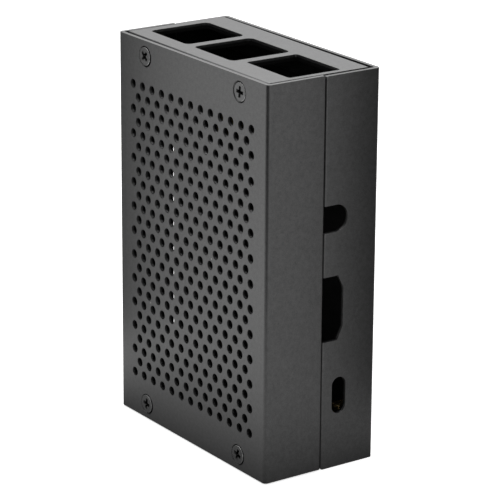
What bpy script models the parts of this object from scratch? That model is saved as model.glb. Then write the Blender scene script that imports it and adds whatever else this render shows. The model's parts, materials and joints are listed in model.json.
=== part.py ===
"""Case for a credit-card sized single board computer.

Two folded covers close on two folded end plates, held by countersunk screws. Standoffs on the
rear cover carry the board. Z runs along the case, which stands on its card end. The perforated
front faces -Y and the port side faces +X. The origin is the middle of the base. Lengths are metres.
"""

import math

import bmesh
import bpy
from mathutils import Matrix, Vector

# Board that the case is drawn around
BOARD_THICKNESS = 0.0015
BOARD_HOLE_INSET = 0.0035
BOARD_HOLE_PITCH_LENGTH = 0.058
BOARD_HOLE_PITCH_WIDTH = 0.049
BOARD_CONNECTOR_END = 0.0235
BOARD_SIDE_ROOM = 0.0014
BOARD_SHIFT_TO_PORTS = 0.0006
CARD_END_ROOM = 0.0070
CONNECTOR_END_ROOM = 0.0020

# Openings in the upper end plate, in a row across the width
USB_OPENING_WIDTH = 0.0161
USB_OPENING_HEIGHT = 0.0161
USB_OPENING_CORNER = 0.0014
NETWORK_OPENING_WIDTH = 0.0169
NETWORK_OPENING_HEIGHT = 0.0140
NETWORK_OPENING_CORNER = 0.0007
OPENING_BAR = 0.0025
OPENING_TO_LEFT_SIDE = 0.00385
OPENING_TO_RIGHT_SIDE = 0.00285
OPENING_TO_FRONT = 0.0060

# Folded covers
COVER_WALL = 0.0010
COVER_BEND_RADIUS = 0.0018
FLANGE_CORNER_RADIUS = 0.0004
SEAM_GAP = 0.0003
SEAM_OVER_BOARD = 0.0063
REAR_COVER_DROP = 0.0002

# Folded end plates, which sit a little turned between the covers
END_PLATE_WALL = 0.0015
END_PLATE_FLANGE = 0.0070
END_PLATE_BEND_RADIUS = 0.0005
END_PLATE_GAP = 0.0002
END_PLATE_TURN = math.radians(-0.7)

# Perforation of the front cover: long and short rows take turns
HOLE_DIAMETER = 0.00205
HOLE_SIDES = 8
COLUMN_PITCH = 0.00403
ROW_PITCH = 0.0030
PERFORATION_SIDE_MARGIN = 0.0052
PERFORATION_END_MARGIN = 0.0105
PERFORATION_SHIFT_X = -0.0006
PERFORATION_SHIFT_Z = -0.0003
SHORT_ROW_SHIFT = 0.00015

# Cut-outs in the port side, placed from the board's card end and its upper face
POWER_PORT_PLACE = 0.0106
POWER_SLOT_LENGTH = 0.0089
POWER_SLOT_WIDTH = 0.0039
POWER_SLOT_OVER_BOARD = 0.00145
VIDEO_PORT_PLACE = 0.0320
VIDEO_PORT_LENGTH = 0.0156
VIDEO_PORT_OVER_BOARD = 0.0006
VIDEO_PORT_CHAMFER_LENGTH = 0.0032
VIDEO_PORT_CHAMFER_DEPTH = 0.0016
AUDIO_PORT_PLACE = 0.0535
AUDIO_PORT_RADIUS = 0.0032
AUDIO_PORT_OVER_BOARD = 0.00295

# Slot for a ribbon cable, cut from the seam into the front cover's flange on the other side
HEADER_SLOT_PLACE = 0.0345
HEADER_SLOT_LENGTH = 0.0510
HEADER_SLOT_FROM_SEAM = 0.0025
HEADER_SLOT_CORNER = 0.0006

# Card slot in the lower end plate
CARD_SLOT_WIDTH = 0.0140
CARD_SLOT_HEIGHT = 0.0032
CARD_SLOT_UNDER_BOARD = 0.0010
CARD_SLOT_CORNER = 0.0006

# Countersunk cross-head screws, all of one thread
HEAD_DIAMETER = 0.0047
HEAD_LAND = 0.00015
HEAD_GAP = 0.0003
THREAD_DIAMETER = 0.0025
THREAD_GAP = 0.00025
THREAD_LEAD_IN = 0.0005
TIP_CHAMFER = 0.0004
RECESS_SPAN = 0.0026
RECESS_ARM = 0.0006
RECESS_DEPTH = 0.0010

# Cover screws: how far each head is sunk, and how far it is turned, in degrees
COVER_SCREW_LENGTH = 0.0050
COVER_SCREW_FROM_SIDE = 0.0111
COVER_SCREW_FROM_END = 0.0038
COVER_SCREW_SHIFT_X = 0.0002
FRONT_SCREW_SINKS = (0.00002, 0.00005, 0.00002, 0.00002)
FRONT_SCREW_TURNS = (47, 85, 80, 73)
REAR_SCREW_SINKS = (0.0001, 0.0002, 0.00015, 0.0001)
REAR_SCREW_TURNS = (24, 71, 8, 49)

# Standoffs and their screws
STANDOFF_LENGTH = 0.0060
STANDOFF_ACROSS_FLATS = 0.0050
STANDOFF_SCREW_LENGTH = 0.0040
STANDOFF_SCREW_SINK = 0.0001
STANDOFF_SCREW_TURNS = (33, 5, 57, 84)
SEAT_GAP = 0.0003

# Fineness of round shapes
BEND_STEPS = 4
CORNER_STEPS = 3
PORT_STEPS = 8
SCREW_STEPS = 10
SMOOTH_ANGLE = math.radians(35)

# How far a cutter runs past the wall that it cuts
OVERRUN = 0.0010
# Points closer than this are one point, and faces closer to flat than this are one face
MERGE_DISTANCE = 1e-6
FLAT_ANGLE = math.radians(0.1)

# Sizes that follow from the values above
BOARD_LENGTH = BOARD_HOLE_INSET + BOARD_HOLE_PITCH_LENGTH + BOARD_CONNECTOR_END
BOARD_WIDTH = BOARD_HOLE_PITCH_WIDTH + 2 * BOARD_HOLE_INSET
WIDTH_FOR_BOARD = BOARD_WIDTH + 2 * (BOARD_SIDE_ROOM + COVER_WALL)
WIDTH_FOR_OPENINGS = (OPENING_TO_LEFT_SIDE + 2 * (USB_OPENING_WIDTH + OPENING_BAR)
                      + NETWORK_OPENING_WIDTH + OPENING_TO_RIGHT_SIDE)
CASE_WIDTH = max(WIDTH_FOR_BOARD, WIDTH_FOR_OPENINGS)
CASE_DEPTH = (OPENING_TO_FRONT + USB_OPENING_HEIGHT + BOARD_THICKNESS + STANDOFF_LENGTH
              + SEAT_GAP + COVER_WALL)
CASE_HEIGHT = CARD_END_ROOM + BOARD_LENGTH + CONNECTOR_END_ROOM
COVER_HEIGHT = CASE_HEIGHT - REAR_COVER_DROP
BOARD_TOP_Y = OPENING_TO_FRONT + USB_OPENING_HEIGHT - CASE_DEPTH / 2
BOARD_SEAT_Y = BOARD_TOP_Y + BOARD_THICKNESS
SEAM_Y = BOARD_TOP_Y - SEAM_OVER_BOARD
TURN_SPREAD = math.tan(abs(END_PLATE_TURN))
END_PLATE_DEPTH = CASE_DEPTH - 2 * (COVER_WALL + END_PLATE_GAP) - CASE_WIDTH * TURN_SPREAD
END_PLATE_LENGTH = CASE_WIDTH - 2 * (COVER_WALL + END_PLATE_GAP) - CASE_DEPTH * TURN_SPREAD

# Turns flat outlines up: outline x runs along Y, outline y along Z and the thickness along X
UPRIGHT = Matrix(((0, 0, 1), (1, 0, 0), (0, 1, 0))).to_4x4()
# The same for the upper end plate, whose flanges fold down
UPRIGHT_DOWN = Matrix(((0, 0, -1), (1, 0, 0), (0, -1, 0))).to_4x4()
FACING_FRONT = Matrix.Rotation(math.radians(90), 4, "X")
FACING_REAR = Matrix.Rotation(math.radians(-90), 4, "X")


def clear_scene():
    """Remove all objects, so that the script can run again in an open file."""
    for item in list(bpy.data.objects):
        bpy.data.objects.remove(item, do_unlink=True)


def new_collection(name, parent=None):
    """Make a collection under the scene's own, or under another one."""
    collection = bpy.data.collections.new(name)
    (parent or bpy.context.scene.collection).children.link(collection)
    return collection


def metal(name, colour, roughness, metallic):
    """Make a Principled BSDF material."""
    material = bpy.data.materials.new(name)
    material.use_nodes = True
    shader = material.node_tree.nodes["Principled BSDF"]
    shader.inputs["Base Color"].default_value = (*colour, 1)
    shader.inputs["Roughness"].default_value = roughness
    shader.inputs["Metallic"].default_value = metallic
    return material


def arc(centre_x, centre_y, radius, start, end, steps):
    """Give points on an arc from one angle to another, in degrees."""
    points = []
    for step in range(steps + 1):
        angle = math.radians(start + (end - start) * step / steps)
        points.append((centre_x + radius * math.cos(angle), centre_y + radius * math.sin(angle)))
    return points


def rounded_rectangle(left, bottom, right, top, radius, steps):
    """Give the outline of a rectangle with round corners."""
    return (arc(right - radius, bottom + radius, radius, -90, 0, steps)
            + arc(right - radius, top - radius, radius, 0, 90, steps)
            + arc(left + radius, top - radius, radius, 90, 180, steps)
            + arc(left + radius, bottom + radius, radius, 180, 270, steps))


def channel_outline(width, depth, wall, bend_radius):
    """Give the section of a sheet folded to a U, its web along y = 0 and its flanges towards +y."""
    outer = width / 2
    inner = outer - wall
    outline = [(-outer, depth)]
    outline += arc(-outer + bend_radius, bend_radius, bend_radius, 180, 270, BEND_STEPS)
    outline += arc(outer - bend_radius, bend_radius, bend_radius, 270, 360, BEND_STEPS)
    outline += [(outer, depth), (inner, depth)]
    inner_radius = bend_radius - wall
    if inner_radius > 0:
        outline += arc(inner - inner_radius, bend_radius, inner_radius, 0, -90, BEND_STEPS)
        outline += arc(inner_radius - inner, bend_radius, inner_radius, -90, -180, BEND_STEPS)
    else:
        outline += [(inner, wall), (-inner, wall)]
    return outline + [(-inner, depth)]


def evaluated_mesh(source):
    """Take an object's mesh as its modifiers leave it, and remove the object."""
    bpy.context.view_layer.update()
    depsgraph = bpy.context.evaluated_depsgraph_get()
    mesh = bpy.data.meshes.new_from_object(source.evaluated_get(depsgraph))
    bpy.data.objects.remove(source, do_unlink=True)
    return mesh


def weld_and_smooth(mesh):
    """Join a mesh's loose seams, merge its flat faces and shade its bends smooth."""
    work = bmesh.new()
    work.from_mesh(mesh)
    bmesh.ops.remove_doubles(work, verts=work.verts, dist=MERGE_DISTANCE)
    bmesh.ops.dissolve_limit(work, angle_limit=FLAT_ANGLE, verts=work.verts, edges=work.edges)
    bmesh.ops.recalc_face_normals(work, faces=work.faces)
    work.to_mesh(mesh)
    work.free()
    mesh.shade_smooth()
    mesh.set_sharp_from_angle(angle=SMOOTH_ANGLE)
    return mesh


def outline_mesh(name, rim, thickness):
    """Make a solid of even thickness, centred on z = 0, from a flat outline."""
    curve = bpy.data.curves.new(name, "CURVE")
    curve.dimensions = "2D"
    curve.fill_mode = "BOTH"
    curve.extrude = thickness / 2
    spline = curve.splines.new("POLY")
    spline.points.add(len(rim) - 1)
    for point, (x, y) in zip(spline.points, rim):
        point.co = (x, y, 0, 1)
    spline.use_cyclic_u = True
    flat = bpy.data.objects.new(name, curve)
    bpy.context.scene.collection.objects.link(flat)
    return weld_and_smooth(evaluated_mesh(flat))


def turned_mesh(name, profile):
    """Turn a profile of (radius, height) points, listed from top to bottom, round the Z axis."""
    mesh = bpy.data.meshes.new(name)
    edges = [(index, index + 1) for index in range(len(profile) - 1)]
    mesh.from_pydata([(radius, 0, height) for radius, height in profile], edges, [])
    turned = bpy.data.objects.new(name, mesh)
    bpy.context.scene.collection.objects.link(turned)
    screw = turned.modifiers.new("turn", "SCREW")
    screw.steps = screw.render_steps = SCREW_STEPS
    screw.use_merge_vertices = True
    screw.merge_threshold = MERGE_DISTANCE
    return weld_and_smooth(evaluated_mesh(turned))


def place(name, mesh, matrix, collection, material=None, parent=None):
    """Put a mesh in the scene as a named piece."""
    piece = bpy.data.objects.new(name, mesh)
    collection.objects.link(piece)
    piece.matrix_world = matrix
    if material:
        mesh.materials.clear()
        mesh.materials.append(material)
    if parent:
        piece.parent = parent
    return piece


def place_cutter(name, mesh, matrix, collection):
    """Put a mesh in the scene as a cutter, shown as wire."""
    cutter = place(name, mesh, matrix, collection)
    cutter.display_type = "WIRE"
    cutter.hide_render = True
    return cutter


def cut(piece, cutters):
    """Cut all cutters of a collection from a piece."""
    boolean = piece.modifiers.new("cuts", "BOOLEAN")
    boolean.operation = "DIFFERENCE"
    boolean.operand_type = "COLLECTION"
    boolean.collection = cutters
    boolean.solver = "EXACT"


def round_flange_corners(piece, flange_edge, height):
    """Round the corners where a cover's flanges end at the seam."""
    mesh = piece.data
    weights = mesh.attributes.new("bevel_weight_edge", "FLOAT", "EDGE")
    for edge in mesh.edges:
        ends = [mesh.vertices[index].co for index in edge.vertices]
        at_seam = all(abs(end.y - flange_edge) < MERGE_DISTANCE for end in ends)
        at_end = all(abs(abs(end.z) - height / 2) < MERGE_DISTANCE for end in ends)
        if at_seam and at_end:
            weights.data[edge.index].value = 1
    bevel = piece.modifiers.new("flange corners", "BEVEL")
    bevel.limit_method = "WEIGHT"
    bevel.width = FLANGE_CORNER_RADIUS
    bevel.segments = CORNER_STEPS


def cross_outline(span, arm):
    """Give the outline of a cross recess."""
    outline = []
    for quarter in range(4):
        turn = Matrix.Rotation(math.radians(90 * quarter), 2)
        for x, y in ((span / 2, -arm / 2), (span / 2, arm / 2), (arm / 2, arm / 2)):
            outline.append(tuple(turn @ Vector((x, y))))
    return outline


def screw_mesh(name, length):
    """Make a countersunk screw along -Z from its head at z = 0, its thread left at the core."""
    head = HEAD_DIAMETER / 2
    neck = THREAD_DIAMETER / 2
    core = neck - THREAD_GAP
    under_head = -HEAD_LAND - (head - neck)
    profile = [(0, 0), (head, 0), (head, -HEAD_LAND), (neck, under_head), (core, under_head),
               (core, TIP_CHAMFER - length), (core - TIP_CHAMFER, -length), (0, -length)]
    blank = bpy.data.objects.new(name, turned_mesh(name, profile))
    bpy.context.scene.collection.objects.link(blank)
    recess = outline_mesh(name, cross_outline(RECESS_SPAN, RECESS_ARM), 2 * RECESS_DEPTH)
    cutters = new_collection(name + " recess")
    cutter = place_cutter(name + " recess", recess, Matrix.Identity(4), cutters)
    cut(blank, cutters)
    mesh = evaluated_mesh(blank)
    bpy.data.objects.remove(cutter, do_unlink=True)
    bpy.data.collections.remove(cutters)
    return mesh


def countersink_mesh():
    """Make the cutter that leaves an even gap round a countersunk head at z = 0."""
    rim = HEAD_DIAMETER / 2 + HEAD_GAP
    hole = THREAD_DIAMETER / 2 + HEAD_GAP
    bottom = -COVER_WALL - OVERRUN
    return turned_mesh("countersink", [(0, OVERRUN), (rim, OVERRUN), (rim, -HEAD_LAND),
                                       (hole, -HEAD_LAND - (rim - hole)), (hole, bottom), (0, bottom)])


def tapped_hole_mesh(name, depth):
    """Make the cutter for a tapped hole with a lead-in, its mouth at z = 0."""
    hole = THREAD_DIAMETER / 2
    mouth = hole + THREAD_LEAD_IN
    bottom = -depth - OVERRUN
    return turned_mesh(name, [(0, OVERRUN), (mouth, OVERRUN), (mouth, 0), (hole, -THREAD_LEAD_IN),
                              (hole, bottom), (0, bottom)])


def cover_screw_places():
    """Give the name, X and Z of each cover screw."""
    left = COVER_SCREW_SHIFT_X - CASE_WIDTH / 2 + COVER_SCREW_FROM_SIDE
    right = COVER_SCREW_SHIFT_X + CASE_WIDTH / 2 - COVER_SCREW_FROM_SIDE
    lower = COVER_SCREW_FROM_END
    upper = CASE_HEIGHT - COVER_SCREW_FROM_END
    return [("upper_left", left, upper), ("upper_right", right, upper),
            ("lower_left", left, lower), ("lower_right", right, lower)]


def standoff_places():
    """Give the name, X and Z of each standoff."""
    left = BOARD_SHIFT_TO_PORTS - BOARD_HOLE_PITCH_WIDTH / 2
    right = BOARD_SHIFT_TO_PORTS + BOARD_HOLE_PITCH_WIDTH / 2
    lower = CARD_END_ROOM + BOARD_HOLE_INSET
    upper = lower + BOARD_HOLE_PITCH_LENGTH
    return [("upper_left", left, upper), ("upper_right", right, upper),
            ("lower_left", left, lower), ("lower_right", right, lower)]


def perforation_places():
    """Give X and Z of each hole of the front cover."""
    columns = int((CASE_WIDTH - 2 * PERFORATION_SIDE_MARGIN) / COLUMN_PITCH) + 1
    rows = int((CASE_HEIGHT - 2 * PERFORATION_END_MARGIN) / ROW_PITCH) + 1
    left = PERFORATION_SHIFT_X - COLUMN_PITCH * (columns - 1) / 2
    bottom = CASE_HEIGHT / 2 + PERFORATION_SHIFT_Z - ROW_PITCH * (rows - 1) / 2
    places = []
    for row in range(rows):
        short = row % 2
        start = left + short * (COLUMN_PITCH / 2 + SHORT_ROW_SHIFT)
        for column in range(columns - short):
            places.append((start + column * COLUMN_PITCH, bottom + row * ROW_PITCH))
    return places


def perforation_mesh():
    """Make all punches of the perforation as one mesh."""
    work = bmesh.new()
    turn = FACING_FRONT @ Matrix.Rotation(math.pi / HOLE_SIDES, 4, "Z")
    for x, z in perforation_places():
        middle = Matrix.Translation((x, -CASE_DEPTH / 2 + COVER_WALL / 2, z))
        bmesh.ops.create_cone(work, cap_ends=True, segments=HOLE_SIDES, radius1=HOLE_DIAMETER / 2,
                              radius2=HOLE_DIAMETER / 2, depth=COVER_WALL + 2 * OVERRUN,
                              matrix=middle @ turn)
    mesh = bpy.data.meshes.new("perforation")
    work.to_mesh(mesh)
    work.free()
    return mesh


def cover(name, depth, matrix, cutters, collection, material, parent):
    """Fold one cover and cut it."""
    section = channel_outline(CASE_WIDTH, depth, COVER_WALL, COVER_BEND_RADIUS)
    piece = place(name, outline_mesh(name, section, COVER_HEIGHT), matrix, collection, material, parent)
    round_flange_corners(piece, depth, COVER_HEIGHT)
    cut(piece, cutters)
    return piece


def end_plate(name, matrix, cutters, collection, material, parent):
    """Fold one end plate and cut it."""
    section = channel_outline(END_PLATE_DEPTH, END_PLATE_FLANGE, END_PLATE_WALL, END_PLATE_BEND_RADIUS)
    piece = place(name, outline_mesh(name, section, END_PLATE_LENGTH), matrix, collection, material,
                  parent)
    cut(piece, cutters)
    return piece


def port_outlines():
    """Give the outline of each cut-out of the port side, in Y and Z."""
    power_y = BOARD_TOP_Y - POWER_SLOT_OVER_BOARD
    power_z = CARD_END_ROOM + POWER_PORT_PLACE
    power_radius = POWER_SLOT_WIDTH / 2
    power_reach = POWER_SLOT_LENGTH / 2 - power_radius
    power = (arc(power_y, power_z - power_reach, power_radius, 180, 360, PORT_STEPS)
             + arc(power_y, power_z + power_reach, power_radius, 0, 180, PORT_STEPS))
    start = SEAM_Y - OVERRUN
    floor = BOARD_TOP_Y - VIDEO_PORT_OVER_BOARD
    shoulder = floor - VIDEO_PORT_CHAMFER_DEPTH
    low = CARD_END_ROOM + VIDEO_PORT_PLACE - VIDEO_PORT_LENGTH / 2
    high = low + VIDEO_PORT_LENGTH
    video = [(start, low), (shoulder, low), (floor, low + VIDEO_PORT_CHAMFER_LENGTH),
             (floor, high - VIDEO_PORT_CHAMFER_LENGTH), (shoulder, high), (start, high)]
    audio_y = BOARD_TOP_Y - AUDIO_PORT_OVER_BOARD
    audio_z = CARD_END_ROOM + AUDIO_PORT_PLACE
    audio = [(start, audio_z - AUDIO_PORT_RADIUS)]
    audio += arc(audio_y, audio_z, AUDIO_PORT_RADIUS, -90, 90, PORT_STEPS)
    audio += [(start, audio_z + AUDIO_PORT_RADIUS)]
    return {"power_port": power, "video_port": video, "audio_port": audio}


def header_slot_outline():
    """Give the outline of the ribbon cable slot, in Y and Z, open to the seam."""
    low = CARD_END_ROOM + HEADER_SLOT_PLACE - HEADER_SLOT_LENGTH / 2
    high = low + HEADER_SLOT_LENGTH
    radius = HEADER_SLOT_CORNER
    corner_y = SEAM_Y - HEADER_SLOT_FROM_SEAM + radius
    return (arc(corner_y, high - radius, radius, 90, 180, CORNER_STEPS)
            + arc(corner_y, low + radius, radius, 180, 270, CORNER_STEPS)
            + [(SEAM_Y + OVERRUN, low), (SEAM_Y + OVERRUN, high)])


def end_openings():
    """Give left edge, width, height and corner radius of each opening of the upper end plate."""
    usb = (USB_OPENING_WIDTH, USB_OPENING_HEIGHT, USB_OPENING_CORNER)
    network = (NETWORK_OPENING_WIDTH, NETWORK_OPENING_HEIGHT, NETWORK_OPENING_CORNER)
    left = -CASE_WIDTH / 2 + OPENING_TO_LEFT_SIDE
    openings = []
    for name, (width, height, corner) in (("usb_left", usb), ("usb_right", usb), ("network", network)):
        openings.append((name, left, width, height, corner))
        left += width + OPENING_BAR
    return openings


def build():
    """Build the case."""
    clear_scene()
    case = new_collection("single_board_computer_case")
    cutters = new_collection("cutters")
    front_cuts = new_collection("front cover cutters", cutters)
    rear_cuts = new_collection("rear cover cutters", cutters)
    upper_cuts = new_collection("upper end plate cutters", cutters)
    lower_cuts = new_collection("lower end plate cutters", cutters)

    anodised_cover = metal("anodised_cover", (0.060, 0.060, 0.062), 0.42, 0.85)
    anodised_plate = metal("anodised_end_plate", (0.085, 0.085, 0.088), 0.40, 0.85)
    black_steel = metal("black_screw", (0.050, 0.050, 0.052), 0.35, 0.90)
    brass = metal("brass_standoff", (0.60, 0.44, 0.20), 0.30, 1.00)

    frame = bpy.data.objects.new("case_frame", None)
    case.objects.link(frame)

    front_face = -CASE_DEPTH / 2
    rear_face = CASE_DEPTH / 2

    place_cutter("perforation", perforation_mesh(), Matrix.Identity(4), front_cuts)
    wall_run = COVER_WALL + 2 * OVERRUN
    slot = outline_mesh("header_slot", header_slot_outline(), wall_run)
    left_wall = Matrix.Translation((-CASE_WIDTH / 2 + COVER_WALL / 2, 0, 0)) @ UPRIGHT
    place_cutter("header_slot", slot, left_wall, front_cuts)
    right_wall = Matrix.Translation((CASE_WIDTH / 2 - COVER_WALL / 2, 0, 0)) @ UPRIGHT
    for name, outline in port_outlines().items():
        place_cutter(name, outline_mesh(name, outline, wall_run), right_wall, rear_cuts)

    countersink = countersink_mesh()
    flange_hole = tapped_hole_mesh("flange_hole", END_PLATE_WALL)
    cover_screw = screw_mesh("cover_screw", COVER_SCREW_LENGTH)
    sides = (("front", front_face, FACING_FRONT, -1, front_cuts, FRONT_SCREW_SINKS, FRONT_SCREW_TURNS),
             ("rear", rear_face, FACING_REAR, 1, rear_cuts, REAR_SCREW_SINKS, REAR_SCREW_TURNS))
    for side, face, facing, outward, cover_cuts, sinks, turns in sides:
        flange_face = outward * END_PLATE_DEPTH / 2
        for (corner, x, z), sink, turn in zip(cover_screw_places(), sinks, turns):
            seat = Matrix.Translation((x, face - outward * sink, z)) @ facing
            place_cutter("countersink", countersink, seat, cover_cuts)
            hole = Matrix.Translation((x, flange_face, z)) @ facing
            plate_cuts = upper_cuts if corner.startswith("upper") else lower_cuts
            place_cutter("flange_hole", flange_hole, hole, plate_cuts)
            turned = seat @ Matrix.Rotation(math.radians(turn), 4, "Z")
            place(f"{side}_screw_{corner}", cover_screw, turned, case, black_steel, frame)

    standoff_screw = screw_mesh("standoff_screw", STANDOFF_SCREW_LENGTH)
    hexagon = arc(0, 0, STANDOFF_ACROSS_FLATS / math.sqrt(3), 0, 300, 5)
    standoff = outline_mesh("board_standoff", hexagon, STANDOFF_LENGTH)
    bore = tapped_hole_mesh("standoff_bore", STANDOFF_LENGTH)
    for (corner, x, z), turn in zip(standoff_places(), STANDOFF_SCREW_TURNS):
        seat = Matrix.Translation((x, rear_face - STANDOFF_SCREW_SINK, z)) @ FACING_REAR
        place_cutter("countersink", countersink, seat, rear_cuts)
        turned = seat @ Matrix.Rotation(math.radians(turn), 4, "Z")
        place(f"standoff_screw_{corner}", standoff_screw, turned, case, black_steel, frame)
        middle = Matrix.Translation((x, BOARD_SEAT_Y + STANDOFF_LENGTH / 2, z)) @ FACING_REAR
        mouth = Matrix.Translation((x, BOARD_SEAT_Y + STANDOFF_LENGTH, z)) @ FACING_REAR
        bore_cuts = new_collection(f"standoff {corner} cutters", cutters)
        place_cutter("standoff_bore", bore, mouth, bore_cuts)
        cut(place(f"board_standoff_{corner}", standoff.copy(), middle, case, brass, frame), bore_cuts)

    turned_plate = Matrix.Rotation(END_PLATE_TURN, 4, "Z")
    upper_end = Matrix.Translation((0, 0, CASE_HEIGHT)) @ turned_plate
    for name, left, width, height, corner in end_openings():
        outline = rounded_rectangle(left, BOARD_TOP_Y - height, left + width, BOARD_TOP_Y, corner,
                                    CORNER_STEPS)
        opening = outline_mesh(name, outline, 2 * (END_PLATE_WALL + OVERRUN))
        place_cutter(f"{name}_opening", opening, upper_end, upper_cuts)
    slot_middle = BOARD_SEAT_Y + CARD_SLOT_UNDER_BOARD
    outline = rounded_rectangle(BOARD_SHIFT_TO_PORTS - CARD_SLOT_WIDTH / 2,
                                slot_middle - CARD_SLOT_HEIGHT / 2,
                                BOARD_SHIFT_TO_PORTS + CARD_SLOT_WIDTH / 2,
                                slot_middle + CARD_SLOT_HEIGHT / 2, CARD_SLOT_CORNER, CORNER_STEPS)
    card_slot = outline_mesh("card_slot", outline, 2 * (END_PLATE_WALL + OVERRUN))
    place_cutter("card_slot", card_slot, turned_plate, lower_cuts)

    front_depth = SEAM_Y - SEAM_GAP / 2 - front_face
    rear_depth = rear_face - SEAM_Y - SEAM_GAP / 2
    front_matrix = Matrix.Translation((0, front_face, CASE_HEIGHT - COVER_HEIGHT / 2))
    rear_matrix = Matrix.Translation((0, rear_face, COVER_HEIGHT / 2)) @ Matrix.Rotation(math.pi, 4, "Z")
    cover("front_cover", front_depth, front_matrix, front_cuts, case, anodised_cover, frame)
    cover("rear_cover", rear_depth, rear_matrix, rear_cuts, case, anodised_cover, frame)
    end_plate("socket_end_plate", upper_end @ UPRIGHT_DOWN, upper_cuts, case, anodised_plate, frame)
    end_plate("card_end_plate", turned_plate @ UPRIGHT, lower_cuts, case, anodised_plate, frame)


build()
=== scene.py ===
"""Looks of the single board computer case, in a white studio.

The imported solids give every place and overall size. This script models each piece again with its
fine shape: broken edges, round punched holes, cross recesses and threads. It dresses them in black
anodised, blackened and turned finishes. All lengths are metres, +Z up, the perforated front faces -Y.
"""

import json
import logging
import math
from collections.abc import Callable, Iterator, Sequence
from contextlib import contextmanager
from dataclasses import dataclass, field
from enum import Enum
from typing import Any

import bmesh
import bpy
from mathutils import Matrix, Vector


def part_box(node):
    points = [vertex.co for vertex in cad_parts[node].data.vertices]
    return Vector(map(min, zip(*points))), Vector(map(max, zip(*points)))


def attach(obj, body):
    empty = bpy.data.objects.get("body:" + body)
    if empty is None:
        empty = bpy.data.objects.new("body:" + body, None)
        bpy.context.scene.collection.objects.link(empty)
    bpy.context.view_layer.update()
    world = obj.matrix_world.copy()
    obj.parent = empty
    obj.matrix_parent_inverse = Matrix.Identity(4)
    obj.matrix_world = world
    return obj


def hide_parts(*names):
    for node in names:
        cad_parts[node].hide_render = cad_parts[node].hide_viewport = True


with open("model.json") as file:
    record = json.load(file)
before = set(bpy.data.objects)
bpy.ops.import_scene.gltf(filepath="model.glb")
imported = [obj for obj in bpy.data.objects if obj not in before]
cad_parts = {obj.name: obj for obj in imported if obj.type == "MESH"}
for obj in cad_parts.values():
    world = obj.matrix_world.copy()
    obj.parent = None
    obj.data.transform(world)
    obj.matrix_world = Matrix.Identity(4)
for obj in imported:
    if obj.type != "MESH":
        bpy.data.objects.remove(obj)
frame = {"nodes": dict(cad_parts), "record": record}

LOG = logging.getLogger("case_scene")
MM = 0.001
# Lengths that differ by less count as the same.
NEAR = 0.00001
# Cosine above which a face counts as square on to an axis.
SQUARE_ON = 0.9
# Widest facet of a broken edge, as a share of the width that was set.
RIM_SHARE = 0.95
# How far the middle point of a rounded edge lies in, as a share of the radius.
ROUND_MIDDLE = 0.3
SHARP_BEND = math.radians(40)
FLAT_WEIGHT = 100
MATT = 0.9
WHITE = (1.0, 1.0, 1.0, 1.0)
BODY = "root"
UPRIGHT = Matrix(((0, 0, 1), (1, 0, 0), (0, 1, 0))).to_4x4()
UPRIGHT_DOWN = Matrix(((0, 0, -1), (1, 0, 0), (0, -1, 0))).to_4x4()
FACING_FRONT = Matrix.Rotation(math.radians(90), 4, "X")
FACING_REAR = Matrix.Rotation(math.radians(-90), 4, "X")


class Element(Enum):
    """What an edit-mode operator acts on."""

    VERTS = "VERT"
    EDGES = "EDGE"
    FACES = "FACE"


class Corner(Enum):
    """Corner of a cover or of the board, seen from the front."""

    UPPER_LEFT = "upper_left"
    UPPER_RIGHT = "upper_right"
    LOWER_LEFT = "lower_left"
    LOWER_RIGHT = "lower_right"

    @property
    def side(self) -> int:
        """Give -1 for the left corners and 1 for the right ones."""
        return -1 if self in (Corner.UPPER_LEFT, Corner.LOWER_LEFT) else 1

    @property
    def is_upper(self) -> bool:
        """Tell whether the corner is at the socket end."""
        return self in (Corner.UPPER_LEFT, Corner.UPPER_RIGHT)


def only(piece: bpy.types.Object) -> None:
    """Select one object alone and make it active.

    Args:
        piece: Object that the next operator works on.
    """
    bpy.ops.object.select_all(action="DESELECT")
    piece.select_set(True)
    bpy.context.view_layer.objects.active = piece


@contextmanager
def editing(piece: bpy.types.Object, element: Element) -> Iterator[None]:
    """Open an object in edit mode with nothing selected, and close it again.

    Args:
        piece: Mesh object to edit.
        element: Kind of element that is picked first.

    Yields:
        Nothing; the object is in edit mode inside the block.
    """
    only(piece)
    bpy.ops.object.mode_set(mode="EDIT")
    bpy.ops.mesh.select_mode(type=element.value)
    bpy.ops.mesh.select_all(action="DESELECT")
    yield
    bpy.ops.object.mode_set(mode="OBJECT")


def pick(piece: bpy.types.Object, element: Element, test: Callable[[Any], bool]) -> None:
    """Select the elements that pass a test, in edit mode, and nothing else.

    Args:
        piece: Object in edit mode.
        element: Kind of element to test.
        test: Function of one vertex, edge or face.
    """
    bpy.ops.mesh.select_mode(type=element.value)
    bpy.ops.mesh.select_all(action="DESELECT")
    work = bmesh.from_edit_mesh(piece.data)
    found = {Element.VERTS: work.verts, Element.EDGES: work.edges, Element.FACES: work.faces}[element]
    for item in found:
        if test(item):
            item.select_set(True)
    work.select_flush_mode()
    bmesh.update_edit_mesh(piece.data)


def settle(piece: bpy.types.Object, matrix: Matrix | None = None) -> bpy.types.Object:
    """Put an object's place into its mesh, so that it sits at the origin.

    Args:
        piece: Object to settle.
        matrix: Place to give it first, or None to keep its own.

    Returns:
        The same object.
    """
    only(piece)
    if matrix is not None:
        piece.matrix_world = matrix
        bpy.context.view_layer.update()
    bpy.ops.object.transform_apply(location=True, rotation=True, scale=True)
    return piece


def apply(piece: bpy.types.Object, kind: str, **values: Any) -> None:
    """Add a modifier, set it and apply it.

    Args:
        piece: Mesh object.
        kind: Blender's name of the modifier type.
        **values: Settings of the modifier.
    """
    only(piece)
    modifier = piece.modifiers.new(kind.lower(), kind)
    for key, value in values.items():
        setattr(modifier, key, value)
    bpy.ops.object.modifier_apply(modifier=modifier.name)


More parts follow.
